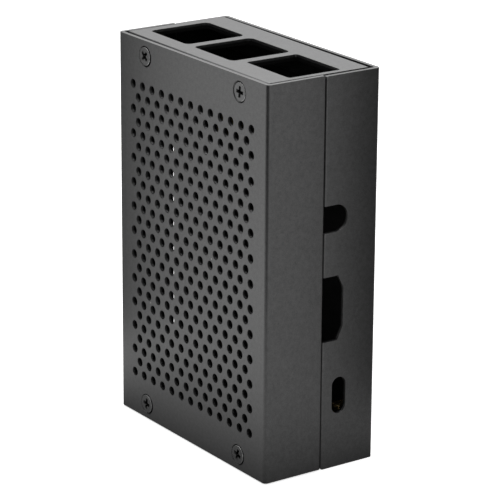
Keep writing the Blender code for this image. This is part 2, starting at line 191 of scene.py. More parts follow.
def fresh(name: str, add: Callable[..., Any], **values: Any) -> bpy.types.Object:
    """Add a primitive with nothing else selected.

    Args:
        name: Name of the object.
        add: Operator that adds the primitive.
        **values: Settings of the operator.

    Returns:
        The new object, settled at the origin.
    """
    bpy.ops.object.select_all(action="DESELECT")
    add(**values)
    piece = bpy.context.active_object
    piece.name = piece.data.name = name
    return settle(piece)


def block(name: str, size: Sequence[float], radius: float = 0.0, segments: int = 6) -> bpy.types.Object:
    """Model a block round the origin whose four edges along Z are rounded.

    Args:
        name: Name of the object.
        size: Length along X, Y and Z.
        radius: Radius of the edges along Z, or 0 for sharp ones.
        segments: Facets of each rounded edge.

    Returns:
        The new object.
    """
    piece = fresh(name, bpy.ops.mesh.primitive_cube_add, size=1, location=(0, 0, 0), scale=size)
    if radius:
        with editing(piece, Element.EDGES):
            pick(piece, Element.EDGES, lambda edge: abs(edge.verts[0].co.z - edge.verts[1].co.z) > NEAR)
            bpy.ops.mesh.bevel(offset_type="OFFSET", offset=radius, segments=segments, affect="EDGES")
    return piece


def turned(name: str, profile: Sequence[tuple[float, float]], sides: int) -> bpy.types.Object:
    """Turn a closed piece round the Z axis by extruding and scaling a disc down its profile.

    Args:
        name: Name of the object.
        profile: Radius and height of each ring, from top to bottom.
        sides: Facets round the axis.

    Returns:
        The new object.
    """
    radius, height = profile[0]
    piece = fresh(name, bpy.ops.mesh.primitive_circle_add, vertices=sides, radius=radius,
                  fill_type="NGON", location=(0, 0, height))
    with editing(piece, Element.FACES):
        bpy.ops.mesh.select_all(action="SELECT")
        for next_radius, next_height in profile[1:]:
            drop = next_height - height
            bpy.ops.mesh.extrude_region_move(TRANSFORM_OT_translate={"value": (0, 0, drop)})
            share = next_radius / radius
            bpy.ops.transform.resize(value=(share, share, 1), center_override=(0, 0, next_height))
            radius, height = next_radius, next_height
        bpy.ops.mesh.select_all(action="SELECT")
        bpy.ops.mesh.normals_make_consistent(inside=False)
    return piece


def stadium(name: str, radius: float, reach: float, thickness: float, sides: int = 44) -> bpy.types.Object:
    """Model a slot cutter by pulling half of a round one away along Y.

    Args:
        name: Name of the object.
        radius: Radius of its round ends.
        reach: Distance between the centres of its ends, which lie at y = 0 and y = reach.
        thickness: Length along Z.
        sides: Facets of the round one.

    Returns:
        The new object.
    """
    half_step = math.pi / sides
    piece = fresh(name, bpy.ops.mesh.primitive_cylinder_add, vertices=sides, radius=radius,
                  depth=thickness, location=(0, 0, 0), rotation=(0, 0, half_step))
    with editing(piece, Element.VERTS):
        pick(piece, Element.VERTS, lambda vert: vert.co.y > 0)
        bpy.ops.transform.translate(value=(0, reach, 0))
    return piece


def copy_of(source: bpy.types.Object, name: str, matrix: Matrix) -> bpy.types.Object:
    """Copy an object with a mesh of its own and settle the copy in its place.

    Args:
        source: Object to copy.
        name: Name of the copy.
        matrix: Place of the copy.

    Returns:
        The copy.
    """
    only(source)
    bpy.ops.object.duplicate(linked=False)
    piece = bpy.context.active_object
    piece.name = piece.data.name = name
    return settle(piece, matrix)


def join(pieces: Sequence[bpy.types.Object]) -> bpy.types.Object:
    """Join objects into the first of them.

    Args:
        pieces: Objects to join.

    Returns:
        The first object, which holds all the meshes.
    """
    only(pieces[0])
    for piece in pieces[1:]:
        piece.select_set(True)
    if len(pieces) > 1:
        bpy.ops.object.join()
    return pieces[0]


def cut(piece: bpy.types.Object, cutters: Sequence[bpy.types.Object], operation: str = "DIFFERENCE") -> None:
    """Cut objects from a piece, or keep only what lies in them, and remove them.

    Args:
        piece: Object that is cut.
        cutters: Closed objects that don't overlap each other.
        operation: Blender's name of the operation.
    """
    tool = join(cutters)
    apply(piece, "BOOLEAN", operation=operation, solver="EXACT", object=tool)
    bpy.data.objects.remove(tool, do_unlink=True)


def remove(*pieces: bpy.types.Object) -> None:
    """Remove objects that were only patterns for copies."""
    for piece in pieces:
        bpy.data.objects.remove(piece, do_unlink=True)


def break_edges(piece: bpy.types.Object, width: float, segments: int = 2) -> None:
    """Round all sharp edges a little, as deburred sheet has them.

    Args:
        piece: Object to bevel.
        width: Width of the rounding.
        segments: Facets of the rounding.
    """
    apply(piece, "BEVEL", width=width, segments=segments, limit_method="ANGLE",
          angle_limit=SHARP_BEND, miter_outer="MITER_ARC", use_clamp_overlap=True)


def mark_rims(piece: bpy.types.Object, widest: float) -> None:
    """Write the attribute 'rim', which is 1 in the middle of each broken edge and 0 elsewhere.

    Args:
        piece: Finished mesh object.
        widest: Widest facet that still counts as part of a broken edge.
    """
    work = bmesh.new()
    work.from_mesh(piece.data)
    layer = work.verts.layers.float.new("rim")
    narrow = {face: face.calc_area() / max(edge.calc_length() for edge in face.edges) < widest
              for face in work.faces}
    for vert in work.verts:
        vert[layer] = float(all(narrow[face] for face in vert.link_faces))
    work.to_mesh(piece.data)
    work.free()


def finish_mesh(piece: bpy.types.Object, widest_rim: float, smooth_angle: float = 50.0) -> None:
    """Mark the rims of a piece and shade it, with its flat faces kept flat.

    Args:
        piece: Object whose shape is finished.
        widest_rim: Widest facet of its broken edges.
        smooth_angle: Sharpest bend that is shaded smooth, in degrees.
    """
    mark_rims(piece, widest_rim)
    only(piece)
    bpy.ops.object.shade_smooth_by_angle(angle=math.radians(smooth_angle))
    apply(piece, "WEIGHTED_NORMAL", keep_sharp=True, weight=FLAT_WEIGHT)


@dataclass(frozen=True)
class CaseSizes:
    """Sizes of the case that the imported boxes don't give."""

    cover_wall: float = 1.0 * MM
    cover_bend: float = 1.8 * MM
    seam_corner: float = 0.4 * MM
    plate_wall: float = 1.5 * MM
    plate_bend: float = 0.5 * MM
    plate_inner_bend: float = 0.2 * MM
    plate_flange: float = 7.0 * MM
    plate_corner: float = 0.3 * MM
    plate_bend_segments: int = 5
    plate_gap: float = 0.2 * MM
    plate_turn: float = math.radians(-0.7)
    board_top_y: float = 6.65 * MM
    board_seat_y: float = 8.15 * MM
    board_end_z: float = 7.0 * MM
    board_shift_x: float = 0.6 * MM
    overrun: float = 1.0 * MM

    @property
    def width(self) -> float:
        """Give the width of the covers."""
        return 2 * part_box("front_cover")[1].x

    @property
    def depth(self) -> float:
        """Give the depth over both covers."""
        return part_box("rear_cover")[1].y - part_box("front_cover")[0].y

    @property
    def height(self) -> float:
        """Give the height of the case."""
        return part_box("front_cover")[1].z

    @property
    def cover_height(self) -> float:
        """Give the length of one cover."""
        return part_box("front_cover")[1].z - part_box("front_cover")[0].z

    @property
    def seam_y(self) -> float:
        """Give the middle of the seam between the covers."""
        return (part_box("front_cover")[1].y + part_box("rear_cover")[0].y) / 2

    @property
    def through(self) -> float:
        """Give the length of a cutter that goes through a cover."""
        return self.cover_wall + 2 * self.overrun

    @property
    def plate_depth(self) -> float:
        """Give the depth of an end plate over its flanges."""
        return (self.depth - 2 * (self.cover_wall + self.plate_gap)
                - self.width * math.tan(abs(self.plate_turn)))

    @property
    def plate_length(self) -> float:
        """Give the length of an end plate across the case."""
        return (self.width - 2 * (self.cover_wall + self.plate_gap)
                - self.depth * math.tan(abs(self.plate_turn)))


@dataclass(frozen=True)
class Channel:
    """A sheet folded to a channel: its web along X at y = 0, its flanges towards +Y, its length along Z."""

    width: float
    depth: float
    length: float
    wall: float
    outer_bend: float
    inner_bend: float
    flange_corner: float = 0.0
    bend_segments: int = 8
    corner_segments: int = 3

    def model(self, name: str) -> bpy.types.Object:
        """Fold the sheet from a flat block.

        Args:
            name: Name of the object.

        Returns:
            The folded sheet round the origin, with sharp edges.
        """
        inner = self.width / 2 - self.wall
        piece = block(name, (self.width, self.wall, self.length))
        settle(piece, Matrix.Translation((0, self.wall / 2, 0)))
        with editing(piece, Element.FACES):
            for fold in (-inner, inner):
                bpy.ops.mesh.select_all(action="SELECT")
                bpy.ops.mesh.bisect(plane_co=(fold, 0, 0), plane_no=(1, 0, 0))
            pick(piece, Element.FACES, lambda face: face.normal.y > SQUARE_ON
                 and abs(face.calc_center_median().x) > inner)
            bpy.ops.mesh.extrude_region_move(
                TRANSFORM_OT_translate={"value": (0, self.depth - self.wall, 0)})
            self._round_fold(piece, self.width / 2, 0.0, self.outer_bend)
            self._round_fold(piece, inner, self.wall, self.inner_bend)
            if self.flange_corner:
                pick(piece, Element.EDGES, self._is_flange_corner)
                bpy.ops.mesh.bevel(offset_type="OFFSET", offset=self.flange_corner,
                                   segments=self.corner_segments, affect="EDGES")
        return piece

    def _round_fold(self, piece: bpy.types.Object, x: float, y: float, radius: float) -> None:
        """Round the two long edges of a fold.

        Args:
            piece: The sheet, in edit mode.
            x: Distance of the edges from the middle.
            y: Depth of the edges.
            radius: Radius of the bend there.
        """
        def is_fold(edge: bmesh.types.BMEdge) -> bool:
            """Tell whether an edge runs along the fold."""
            return all(abs(abs(vert.co.x) - x) < NEAR and abs(vert.co.y - y) < NEAR
                       for vert in edge.verts)

        pick(piece, Element.EDGES, is_fold)
        bpy.ops.mesh.bevel(offset_type="OFFSET", offset=radius, segments=self.bend_segments,
                           affect="EDGES", clamp_overlap=False)

    def _is_flange_corner(self, edge: bmesh.types.BMEdge) -> bool:
        """Tell whether an edge is the corner of a flange, which runs across the sheet.

        Args:
            edge: Edge of the sheet.

        Returns:
            True at the four free corners of the flanges.
        """
        return all(abs(vert.co.y - self.depth) < NEAR and abs(abs(vert.co.z) - self.length / 2) < NEAR
                   for vert in edge.verts)


@dataclass(frozen=True)
class Screws:
    """The countersunk cross-head screws of the covers and standoffs."""

    head: float = 4.4 * MM
    land: float = 0.15 * MM
    head_gap: float = 0.35 * MM
    thread: float = 2.5 * MM
    thread_room: float = 0.05 * MM
    core_room: float = 0.25 * MM
    pitch: float = 0.45 * MM
    tip: float = 0.4 * MM
    recess_span: float = 2.7 * MM
    recess_arm: float = 0.8 * MM
    recess_depth: float = 1.2 * MM
    recess_cone: float = 1.2 * MM
    recess_taper: float = 0.78
    recess_edge: float = 0.08 * MM
    recess_bend: float = math.radians(60)
    recess_lift: float = 0.1 * MM
    cone_taper: float = 0.35
    rings_per_turn: int = 6
    ridge_slope: float = 2.6
    core_start: float = 0.5
    thread_start: float = 0.6
    lead_in: float = 0.5 * MM
    cover_length: float = 5.0 * MM
    standoff_length: float = 4.0 * MM
    sides: int = 32
    rim_rounding: float = 0.13 * MM
    sink: dict[str, dict[Corner, float]] = field(default_factory=lambda: {
        "front": dict(zip(Corner, (0.02 * MM, 0.05 * MM, 0.02 * MM, 0.02 * MM))),
        "rear": dict(zip(Corner, (0.1 * MM, 0.2 * MM, 0.15 * MM, 0.1 * MM))),
        "standoff": dict(zip(Corner, (0.1 * MM,) * 4)),
    })
    aside: dict[Corner, float] = field(default_factory=lambda: dict(
        zip(Corner, (-0.17 * MM, 0.0, -0.17 * MM, -0.12 * MM))))
    turn_deg: dict[str, dict[Corner, float]] = field(default_factory=lambda: {
        "front": dict(zip(Corner, (47, 85, 80, 73))),
        "rear": dict(zip(Corner, (24, 71, 8, 49))),
        "standoff": dict(zip(Corner, (33, 5, 57, 84))),
    })

    def model(self, name: str, length: float) -> bpy.types.Object:
        """Model one screw along -Z from its head at z = 0.

        Args:
            name: Name of the object.
            length: Length over the head.

        Returns:
            The screw, with a helical thread and a cross recess.
        """
        head, neck = self.head / 2, self.thread / 2
        core = neck - self.core_room
        shoulder = -self.land - (head - neck)
        rim = self.rim_rounding
        middle = ROUND_MIDDLE * rim
        profile = [(head - rim, 0), (head - middle, -middle), (head, -rim), (head, -self.land),
                   (neck + rim, shoulder + rim), (neck, shoulder),
                   (core, shoulder - self.core_start * rim)]
        step = self.pitch / self.rings_per_turn
        rings = int((length - self.tip + shoulder) / step)
        profile += [(core, shoulder - step * (ring + 1)) for ring in range(rings)]
        profile += [(core - self.tip, -length)]
        piece = turned(name, profile, self.sides)
        self._raise_thread(piece, core, shoulder, length)
        for cutter in self._recess():
            cut(piece, [cutter])
        finish_mesh(piece, rim)
        return piece

    def _raise_thread(self, piece: bpy.types.Object, core: float, shoulder: float, length: float) -> None:
        """Move the shank's points out to a helix.

        Args:
            piece: The screw, with many rings on its shank.
            core: Radius of the core.
            shoulder: Height where the shank starts.
            length: Length of the screw.
        """
        height = self.core_room - self.thread_room
        start = shoulder - self.thread_start * self.rim_rounding
        for vert in piece.data.vertices:
            radius = vert.co.xy.length
            if vert.co.z > start or radius < core - NEAR:
                continue
            turn = math.atan2(vert.co.y, vert.co.x) / math.tau
            phase = (vert.co.z / self.pitch - turn) % 1.0
            ridge = max(0.0, 1.0 - abs(phase - 0.5) * self.ridge_slope)
            run_in = min(1.0, (shoulder - vert.co.z) / self.pitch, (vert.co.z + length) / self.tip)
            vert.co.xy *= (core + height * ridge * max(0.0, run_in)) / radius

    def _recess(self) -> list[bpy.types.Object]:
        """Model the tapered cross that the driver goes into, and the cone in its middle.

        Returns:
            The two cutters, their upper ends above the head.
        """
        arm, reach = self.recess_arm, (self.recess_span - self.recess_arm) / 2
        lift = self.recess_lift
        depth = self.recess_depth + lift
        cross = block("recess", (arm, arm, depth))
        settle(cross, Matrix.Translation((0, 0, lift - depth / 2)))
        with editing(cross, Element.FACES):
            pick(cross, Element.FACES, lambda face: abs(face.normal.z) < SQUARE_ON)
            bpy.ops.mesh.extrude_faces_move(TRANSFORM_OT_shrink_fatten={"value": reach})
            pick(cross, Element.VERTS, lambda vert: vert.co.z < -NEAR and vert.co.xy.length > arm)
            bpy.ops.transform.resize(value=(self.recess_taper, self.recess_taper, 1),
                                     center_override=(0, 0, 0))
        apply(cross, "BEVEL", width=self.recess_edge, segments=2, limit_method="ANGLE",
              angle_limit=self.recess_bend, affect="EDGES")
        wide = self.recess_cone / 2
        point = (self.cone_taper * wide, -self.recess_depth)
        cone = turned("recess_cone", [(wide, lift), (wide, 0), point], self.sides // 2)
        return [cross, cone]

    def countersink(self, name: str, wall: float, overrun: float) -> bpy.types.Object:
        """Model the cutter for a screw's countersunk hole, the head's plane at z = 0.

        Args:
            name: Name of the cutter.
            wall: Thickness of the sheet.
            overrun: How far the cutter runs past it.

        Returns:
            The cutter.
        """
        rim = self.head / 2 + self.head_gap
        hole = self.thread / 2 + self.head_gap
        profile = [(rim, overrun), (rim, -self.land), (hole, -self.land - (rim - hole)),
                   (hole, -wall - overrun)]
        return turned(name, profile, self.sides)

    def tapped_hole(self, name: str, depth: float, overrun: float) -> bpy.types.Object:
        """Model the cutter for a tapped hole with a lead-in, its mouth at z = 0.

        Args:
            name: Name of the cutter.
            depth: Thickness of what it goes through.
            overrun: How far the cutter runs past it.

        Returns:
            The cutter.
        """
        hole = self.thread / 2
        mouth = hole + self.lead_in
        profile = [(mouth, overrun), (mouth, 0), (hole, -self.lead_in), (hole, -depth - overrun)]
        return turned(name, profile, self.sides)


@dataclass(frozen=True)
class Perforation:
    """The punched field of the front cover: long and short rows take turns."""

    diameter: float = 2.2 * MM
    column_pitch: float = 4.03 * MM
    row_pitch: float = 3.0 * MM
    long_row: int = 13
    rows: int = 25
    short_row_shift: float = 0.15 * MM
    below_middle: float = 0.3 * MM
    sides: int = 24
    roll_over: float = 0.03 * MM

    def cutters(self, sizes: CaseSizes) -> list[bpy.types.Object]:
        """Model the punches of the long rows and of the short rows.

        Args:
            sizes: Sizes of the case.

        Returns:
            Two cutters, each an array of one punch.
        """
        radius, roll = self.diameter / 2, self.roll_over
        wall, over = sizes.cover_wall, sizes.overrun
        middle = ROUND_MIDDLE * roll
        profile = [(radius + roll, over), (radius + roll, 0), (radius + middle, -middle),
                   (radius, -roll), (radius, -wall - over)]
        punch = turned("punch", profile, self.sides)
        left = -self.column_pitch * (self.long_row - 1) / 2
        bottom = sizes.height / 2 - self.below_middle - self.row_pitch * (self.rows - 1) / 2
        fields = []
        for name, short in (("long_rows", 0), ("short_rows", 1)):
            x = left + short * (self.column_pitch / 2 + self.short_row_shift)
            place = Matrix.Translation((x, -sizes.depth / 2, bottom + short * self.row_pitch))
            array = copy_of(punch, name, place @ FACING_FRONT)
            apply(array, "ARRAY", count=self.long_row - short, use_relative_offset=False,
                  use_constant_offset=True, constant_offset_displace=(self.column_pitch, 0, 0))
            apply(array, "ARRAY", count=(self.rows + 1) // 2 - short, use_relative_offset=False,
                  use_constant_offset=True, constant_offset_displace=(0, 0, 2 * self.row_pitch))
            fields.append(array)
        remove(punch)
        return fields


@dataclass(frozen=True)
class Covers:
    """The two folded covers with their cut-outs."""

    sizes: CaseSizes
    screws: Screws
    perforation: Perforation = field(default_factory=Perforation)
    edge_break: float = 0.05 * MM
    seam_gap: float = 0.10 * MM
    screw_from_side: float = 11.1 * MM
    screw_from_end: float = 3.8 * MM
    screw_shift_x: float = 0.2 * MM
    power_place: float = 10.6 * MM
    power_length: float = 8.9 * MM
    power_width: float = 3.9 * MM
    power_over_board: float = 1.45 * MM
    video_place: float = 32.0 * MM
    video_length: float = 15.6 * MM
    video_over_board: float = 0.6 * MM
    video_chamfer_length: float = 3.2 * MM
    video_chamfer_depth: float = 1.6 * MM
    audio_place: float = 53.5 * MM
    audio_radius: float = 3.2 * MM
    audio_over_board: float = 2.95 * MM
    ribbon_place: float = 34.5 * MM
    ribbon_length: float = 51.0 * MM
    ribbon_from_seam: float = 1.15 * MM
    ribbon_corner: float = 0.3 * MM
    hole_pitch: tuple[float, float] = (49.0 * MM, 58.0 * MM)
    hole_inset: float = 3.5 * MM

    def screw_place(self, corner: Corner) -> tuple[float, float]:
        """Give X and Z of a cover screw.

        Args:
            corner: Corner of the cover.

        Returns:
            X and Z of the screw's axis.
        """
        x = self.screw_shift_x + corner.side * (self.sizes.width / 2 - self.screw_from_side)
        z = self.sizes.height - self.screw_from_end if corner.is_upper else self.screw_from_end
        return x, z

    def standoff_place(self, corner: Corner) -> tuple[float, float]:
        """Give X and Z of a board standoff.

        Args:
            corner: Corner of the board.

        Returns:
            X and Z of the standoff's axis.
        """
        x = self.sizes.board_shift_x + corner.side * self.hole_pitch[0] / 2
        lower = self.sizes.board_end_z + self.hole_inset
        return x, lower + self.hole_pitch[1] * corner.is_upper

    def seat(self, side: str, corner: Corner, is_screw: bool = True) -> Matrix:
        """Give the place of a screw's head plane; the front ones sit a little aside in their holes.

        Args:
            side: 'front', 'rear' or 'standoff'.
            corner: Corner that the screw is at.
            is_screw: Whether the place is the screw's own, and not its hole's.

        Returns:
            The matrix that puts a screw from the origin into its hole, not yet turned.
        """
        outward = -1 if side == "front" else 1
        x, z = self.standoff_place(corner) if side == "standoff" else self.screw_place(corner)
        if side == "front":
            x += self.screws.aside[corner] * (1 if is_screw else -1)
        y = outward * (self.sizes.depth / 2 - self.screws.sink[side][corner])
        return Matrix.Translation((x, y, z)) @ (FACING_FRONT if side == "front" else FACING_REAR)

    def _sheet(self, name: str, depth: float, place: Matrix) -> bpy.types.Object:
        """Fold one cover and put it in its place.

        Args:
            name: Name of the cover.
            depth: Depth from its face to the seam.
            place: Place of the middle of its face.

        Returns:
            The cover without its cut-outs.
        """
        sizes = self.sizes
        fold = Channel(sizes.width, depth, sizes.cover_height, sizes.cover_wall, sizes.cover_bend,
                       sizes.cover_bend - sizes.cover_wall, sizes.seam_corner)
        return settle(fold.model(name), place)

    def _ribbon_cutter(self) -> bpy.types.Object:
        """Model the cutter for the ribbon cable's slot, which is open to the seam.

        Returns:
            The cutter in its place.
        """
        sizes = self.sizes
        start, end = sizes.seam_y - self.ribbon_from_seam, sizes.seam_y + 2 * sizes.overrun
        cutter = block("ribbon_slot", (end - start, self.ribbon_length, sizes.through), self.ribbon_corner)
        middle = (-(sizes.width - sizes.cover_wall) / 2, (start + end) / 2,
                  sizes.board_end_z + self.ribbon_place)
        return settle(cutter, Matrix.Translation(middle) @ UPRIGHT)

    def _port_cutters(self) -> list[bpy.types.Object]:
        """Model the cutters for the power, video and audio cut-outs of the port side.

        Returns:
            The three cutters in their places.
        """
        sizes = self.sizes
        through = sizes.through
        wall_x = (sizes.width - sizes.cover_wall) / 2
        start = sizes.seam_y - sizes.overrun

        reach = self.power_length - self.power_width
        power = stadium("power_slot", self.power_width / 2, reach, through)
        power_y = sizes.board_top_y - self.power_over_board
        power_z = sizes.board_end_z + self.power_place - reach / 2
        settle(power, Matrix.Translation((wall_x, power_y, power_z)) @ UPRIGHT)

        audio_y = sizes.board_top_y - self.audio_over_board
        audio = stadium("audio_port", self.audio_radius, audio_y - start, through)
        audio_z = sizes.board_end_z + self.audio_place
        settle(audio, Matrix.Translation((wall_x, start, audio_z)) @ UPRIGHT @ Matrix.Rotation(
            math.radians(-90), 4, "Z"))

        floor = sizes.board_top_y - self.video_over_board
        video = block("video_port", (floor - start, self.video_length, through))
        with editing(video, Element.FACES):
            bpy.ops.mesh.select_all(action="SELECT")
            shoulder = (floor - start) / 2 - self.video_chamfer_depth
            bpy.ops.mesh.bisect(plane_co=(shoulder, 0, 0), plane_no=(1, 0, 0))
            pick(video, Element.VERTS, lambda vert: vert.co.x > shoulder + NEAR)
            share = 1 - 2 * self.video_chamfer_length / self.video_length
            bpy.ops.transform.resize(value=(1, share, 1), center_override=(0, 0, 0))
        video_z = sizes.board_end_z + self.video_place
        settle(video, Matrix.Translation((wall_x, (floor + start) / 2, video_z)) @ UPRIGHT)
        return [power, audio, video]

    def _countersinks(self, sides: Sequence[str]) -> list[bpy.types.Object]:
        """Model the countersunk holes of one cover.

        Args:
            sides: Which sets of screws go through it.

        Returns:
            One cutter for each screw.
        """
        pattern = self.screws.countersink("countersink", self.sizes.cover_wall, self.sizes.overrun)
        cutters = [copy_of(pattern, f"countersink_{side}_{corner.value}", self.seat(side, corner, False))
                   for side in sides for corner in Corner]
        remove(pattern)
        return cutters

    def build(self) -> dict[str, bpy.types.Object]:
        """Model both covers.

        Returns:
            The covers by node name.
        """
        sizes = self.sizes
        face, half_gap = sizes.depth / 2, self.seam_gap / 2
        front_place = Matrix.Translation((0, -face, sizes.height - sizes.cover_height / 2))
        front = self._sheet("front_cover_sheet", face + sizes.seam_y - half_gap, front_place)
        cut(front, [self._ribbon_cutter()])
        break_edges(front, self.edge_break)
        cut(front, self.perforation.cutters(sizes) + self._countersinks(["front"]))
        rear_place = Matrix.Translation((0, face, sizes.cover_height / 2)) @ Matrix.Rotation(math.pi, 4, "Z")
        rear = self._sheet("rear_cover_sheet", face - sizes.seam_y - half_gap, rear_place)
        cut(rear, self._port_cutters())
        break_edges(rear, self.edge_break)
        cut(rear, self._countersinks(["rear", "standoff"]))
        for sheet in (front, rear):
            finish_mesh(sheet, self.edge_break * RIM_SHARE)
        return {"front_cover": front, "rear_cover": rear}


@dataclass(frozen=True)
class EndPlates:
    """The folded plates that close both ends, a little turned between the covers."""

    sizes: CaseSizes
    screws: Screws
    covers: Covers
    edge_break: float = 0.07 * MM
    usb_opening: tuple[float, float, float] = (16.1 * MM, 16.1 * MM, 1.4 * MM)
    network_opening: tuple[float, float, float] = (16.9 * MM, 14.0 * MM, 0.7 * MM)
    bar: float = 2.5 * MM
    left_margin: float = 3.85 * MM
    card_slot: tuple[float, float, float] = (14.0 * MM, 3.2 * MM, 0.6 * MM)
    card_slot_under_board: float = 1.0 * MM
    rear_play: float = 0.35 * MM

    @property
    def turn(self) -> Matrix:
        """Give the turn of the plates."""
        return Matrix.Rotation(self.sizes.plate_turn, 4, "Z")

    def _plate(self, name: str, place: Matrix, depth: float) -> bpy.types.Object:
        """Fold one end plate.

        Args:
            name: Name of the plate.
            place: Place of the middle of its outer face.
            depth: Size of the plate across its flanges.

        Returns:
            The plate without holes.
        """
        sizes = self.sizes
        fold = Channel(depth, sizes.plate_flange, sizes.plate_length, sizes.plate_wall,
                       sizes.plate_bend, sizes.plate_inner_bend, sizes.plate_corner,
                       sizes.plate_bend_segments)
        return settle(fold.model(name), place)

    def _flange_holes(self, is_upper: bool) -> list[bpy.types.Object]:
        """Model the tapped holes of one plate's flanges.

        Args:
            is_upper: Whether the plate is at the socket end.

        Returns:
            One cutter for each cover screw.
        """
        pattern = self.screws.tapped_hole("flange_hole", self.sizes.plate_wall, self.sizes.overrun)
        cutters = []
        for facing, outward in ((FACING_FRONT, -1), (FACING_REAR, 1)):
            for corner in Corner:
                if corner.is_upper == is_upper:
                    x, z = self.covers.screw_place(corner)
                    x += self.screws.aside[corner] * (outward < 0)
                    place = Matrix.Translation((x, outward * self.sizes.plate_depth / 2, z)) @ facing
                    cutters.append(copy_of(pattern, f"flange_hole_{outward}_{corner.value}", place))
        remove(pattern)
        return cutters

    def _socket_openings(self) -> list[bpy.types.Object]:
        """Model the cutters for the two stacked sockets and the network socket.

        Returns:
            The three cutters in their places.
        """
        left = -self.sizes.width / 2 + self.left_margin
        through = 2 * (self.sizes.plate_wall + self.sizes.overrun)
        top = self.sizes.board_top_y
        place = Matrix.Translation((0, 0, self.sizes.height)) @ self.turn
        cutters = []
        openings = (("usb_left", self.usb_opening), ("usb_right", self.usb_opening),
                    ("network", self.network_opening))
        for name, (width, height, corner) in openings:
            cutter = block(name, (width, height, through), corner)
            settle(cutter, place @ Matrix.Translation((left + width / 2, top - height / 2, 0)))
            cutters.append(cutter)
            left += width + self.bar
        return cutters

    def build(self) -> dict[str, bpy.types.Object]:
        """Model both end plates.

        Returns:
            The plates by node name.
        """
        sizes = self.sizes
        upper = Matrix.Translation((0, 0, sizes.height)) @ self.turn
        forward = Matrix.Translation((0, -self.rear_play / 2, 0))
        socket_end = self._plate("socket_end_sheet", upper @ forward @ UPRIGHT_DOWN,
                                 sizes.plate_depth - self.rear_play)
        cut(socket_end, self._socket_openings())
        card_end = self._plate("card_end_sheet", self.turn @ UPRIGHT, sizes.plate_depth)
        width, height, corner = self.card_slot
        slot = block("card_slot", (width, height, 2 * (sizes.plate_wall + sizes.overrun)), corner)
        slot_y = sizes.board_seat_y + self.card_slot_under_board
        settle(slot, self.turn @ Matrix.Translation((sizes.board_shift_x, slot_y, 0)))
        cut(card_end, [slot])
        for plate, is_upper in ((socket_end, True), (card_end, False)):
            break_edges(plate, self.edge_break)
            cut(plate, self._flange_holes(is_upper))
            finish_mesh(plate, self.edge_break * RIM_SHARE)
        return {"socket_end_plate": socket_end, "card_end_plate": card_end}


@dataclass(frozen=True)
class Fasteners:
    """All screws and standoffs in their places."""

    sizes: CaseSizes
    screws: Screws
    covers: Covers
    standoff_length: float = 6.0 * MM
    standoff_across_flats: float = 5.0 * MM
    standoff_edge_break: float = 0.1 * MM
    standoff_sides: int = 48

    def _standoff(self) -> bpy.types.Object:
        """Model one standoff along Z round the origin, its screw end at the top.

        Returns:
            The standoff, its corners turned down at both ends.
        """
        length, flats = self.standoff_length, self.standoff_across_flats / 2
        half_face = math.radians(30)
        corners = flats / math.cos(half_face)
        piece = fresh("standoff", bpy.ops.mesh.primitive_cylinder_add, vertices=6, radius=corners,
                      depth=length, location=(0, 0, 0), rotation=(0, 0, -half_face))
        end, shoulder = length / 2, (corners - flats) * math.tan(half_face)
        blank = turned("turned_down", [(flats, end), (corners, end - shoulder), (corners, shoulder - end),
                                       (flats, -end)], self.standoff_sides)
        cut(piece, [blank], "INTERSECT")
        bore = self.screws.tapped_hole("bore", length, self.sizes.overrun)
        cut(piece, [settle(bore, Matrix.Translation((0, 0, end)))])
        break_edges(piece, self.standoff_edge_break)
        finish_mesh(piece, self.standoff_edge_break)
        return piece

    def build(self) -> dict[str, bpy.types.Object]:
        """Model every screw and standoff.

        Returns:
            The pieces by node name.
        """
        made: dict[str, bpy.types.Object] = {}
        cover_screw = self.screws.model("cover_screw", self.screws.cover_length)
        standoff_screw = self.screws.model("standoff_screw", self.screws.standoff_length)
        standoff = self._standoff()
        patterns = {"front": cover_screw, "rear": cover_screw, "standoff": standoff_screw}
        for side, pattern in patterns.items():
            for corner in Corner:
                turn = Matrix.Rotation(math.radians(self.screws.turn_deg[side][corner]), 4, "Z")
                node = f"{side}_screw_{corner.value}"
                made[node] = copy_of(pattern, f"fine_{node}", self.covers.seat(side, corner) @ turn)
        for corner in Corner:
            x, z = self.covers.standoff_place(corner)
            y = self.sizes.board_seat_y + self.standoff_length / 2
            node = f"board_standoff_{corner.value}"
            made[node] = copy_of(standoff, f"fine_{node}", Matrix.Translation((x, y, z)) @ FACING_REAR)
        remove(cover_screw, standoff_screw, standoff)
        return made


def feed(tree: Any, socket: Any, value: Any) -> None:
    """Link an input socket to another socket, or set it to a constant.

    Args:
        tree: Node tree.
        socket: Input socket.
        value: Socket or constant.
    """
    if isinstance(value, bpy.types.NodeSocket):
        tree.links.new(value, socket)
    else:
        socket.default_value = value


def maths(tree: Any, operation: str, *values: Any) -> Any:
    """Place a Math node.

    Args:
        tree: Node tree.
        operation: Blender's name of the operation.
        *values: Sockets or numbers.

    Returns:
        Its output socket.
    """
    node = tree.nodes.new("ShaderNodeMath")
    node.operation = operation
    for socket, value in zip(node.inputs, values):
        feed(tree, socket, value)
    return node.outputs[0]


def vectors(tree: Any, operation: str, *values: Any, output: str = "Vector") -> Any:
    """Place a Vector Math node.

    Args:
        tree: Node tree.
        operation: Blender's name of the operation.
        *values: Sockets or vectors.
        output: Name of the output that counts.

    Returns:
        That output socket.
    """
    node = tree.nodes.new("ShaderNodeVectorMath")
    node.operation = operation
    for socket, value in zip(node.inputs, values):
        feed(tree, socket, value)
    return node.outputs[output]


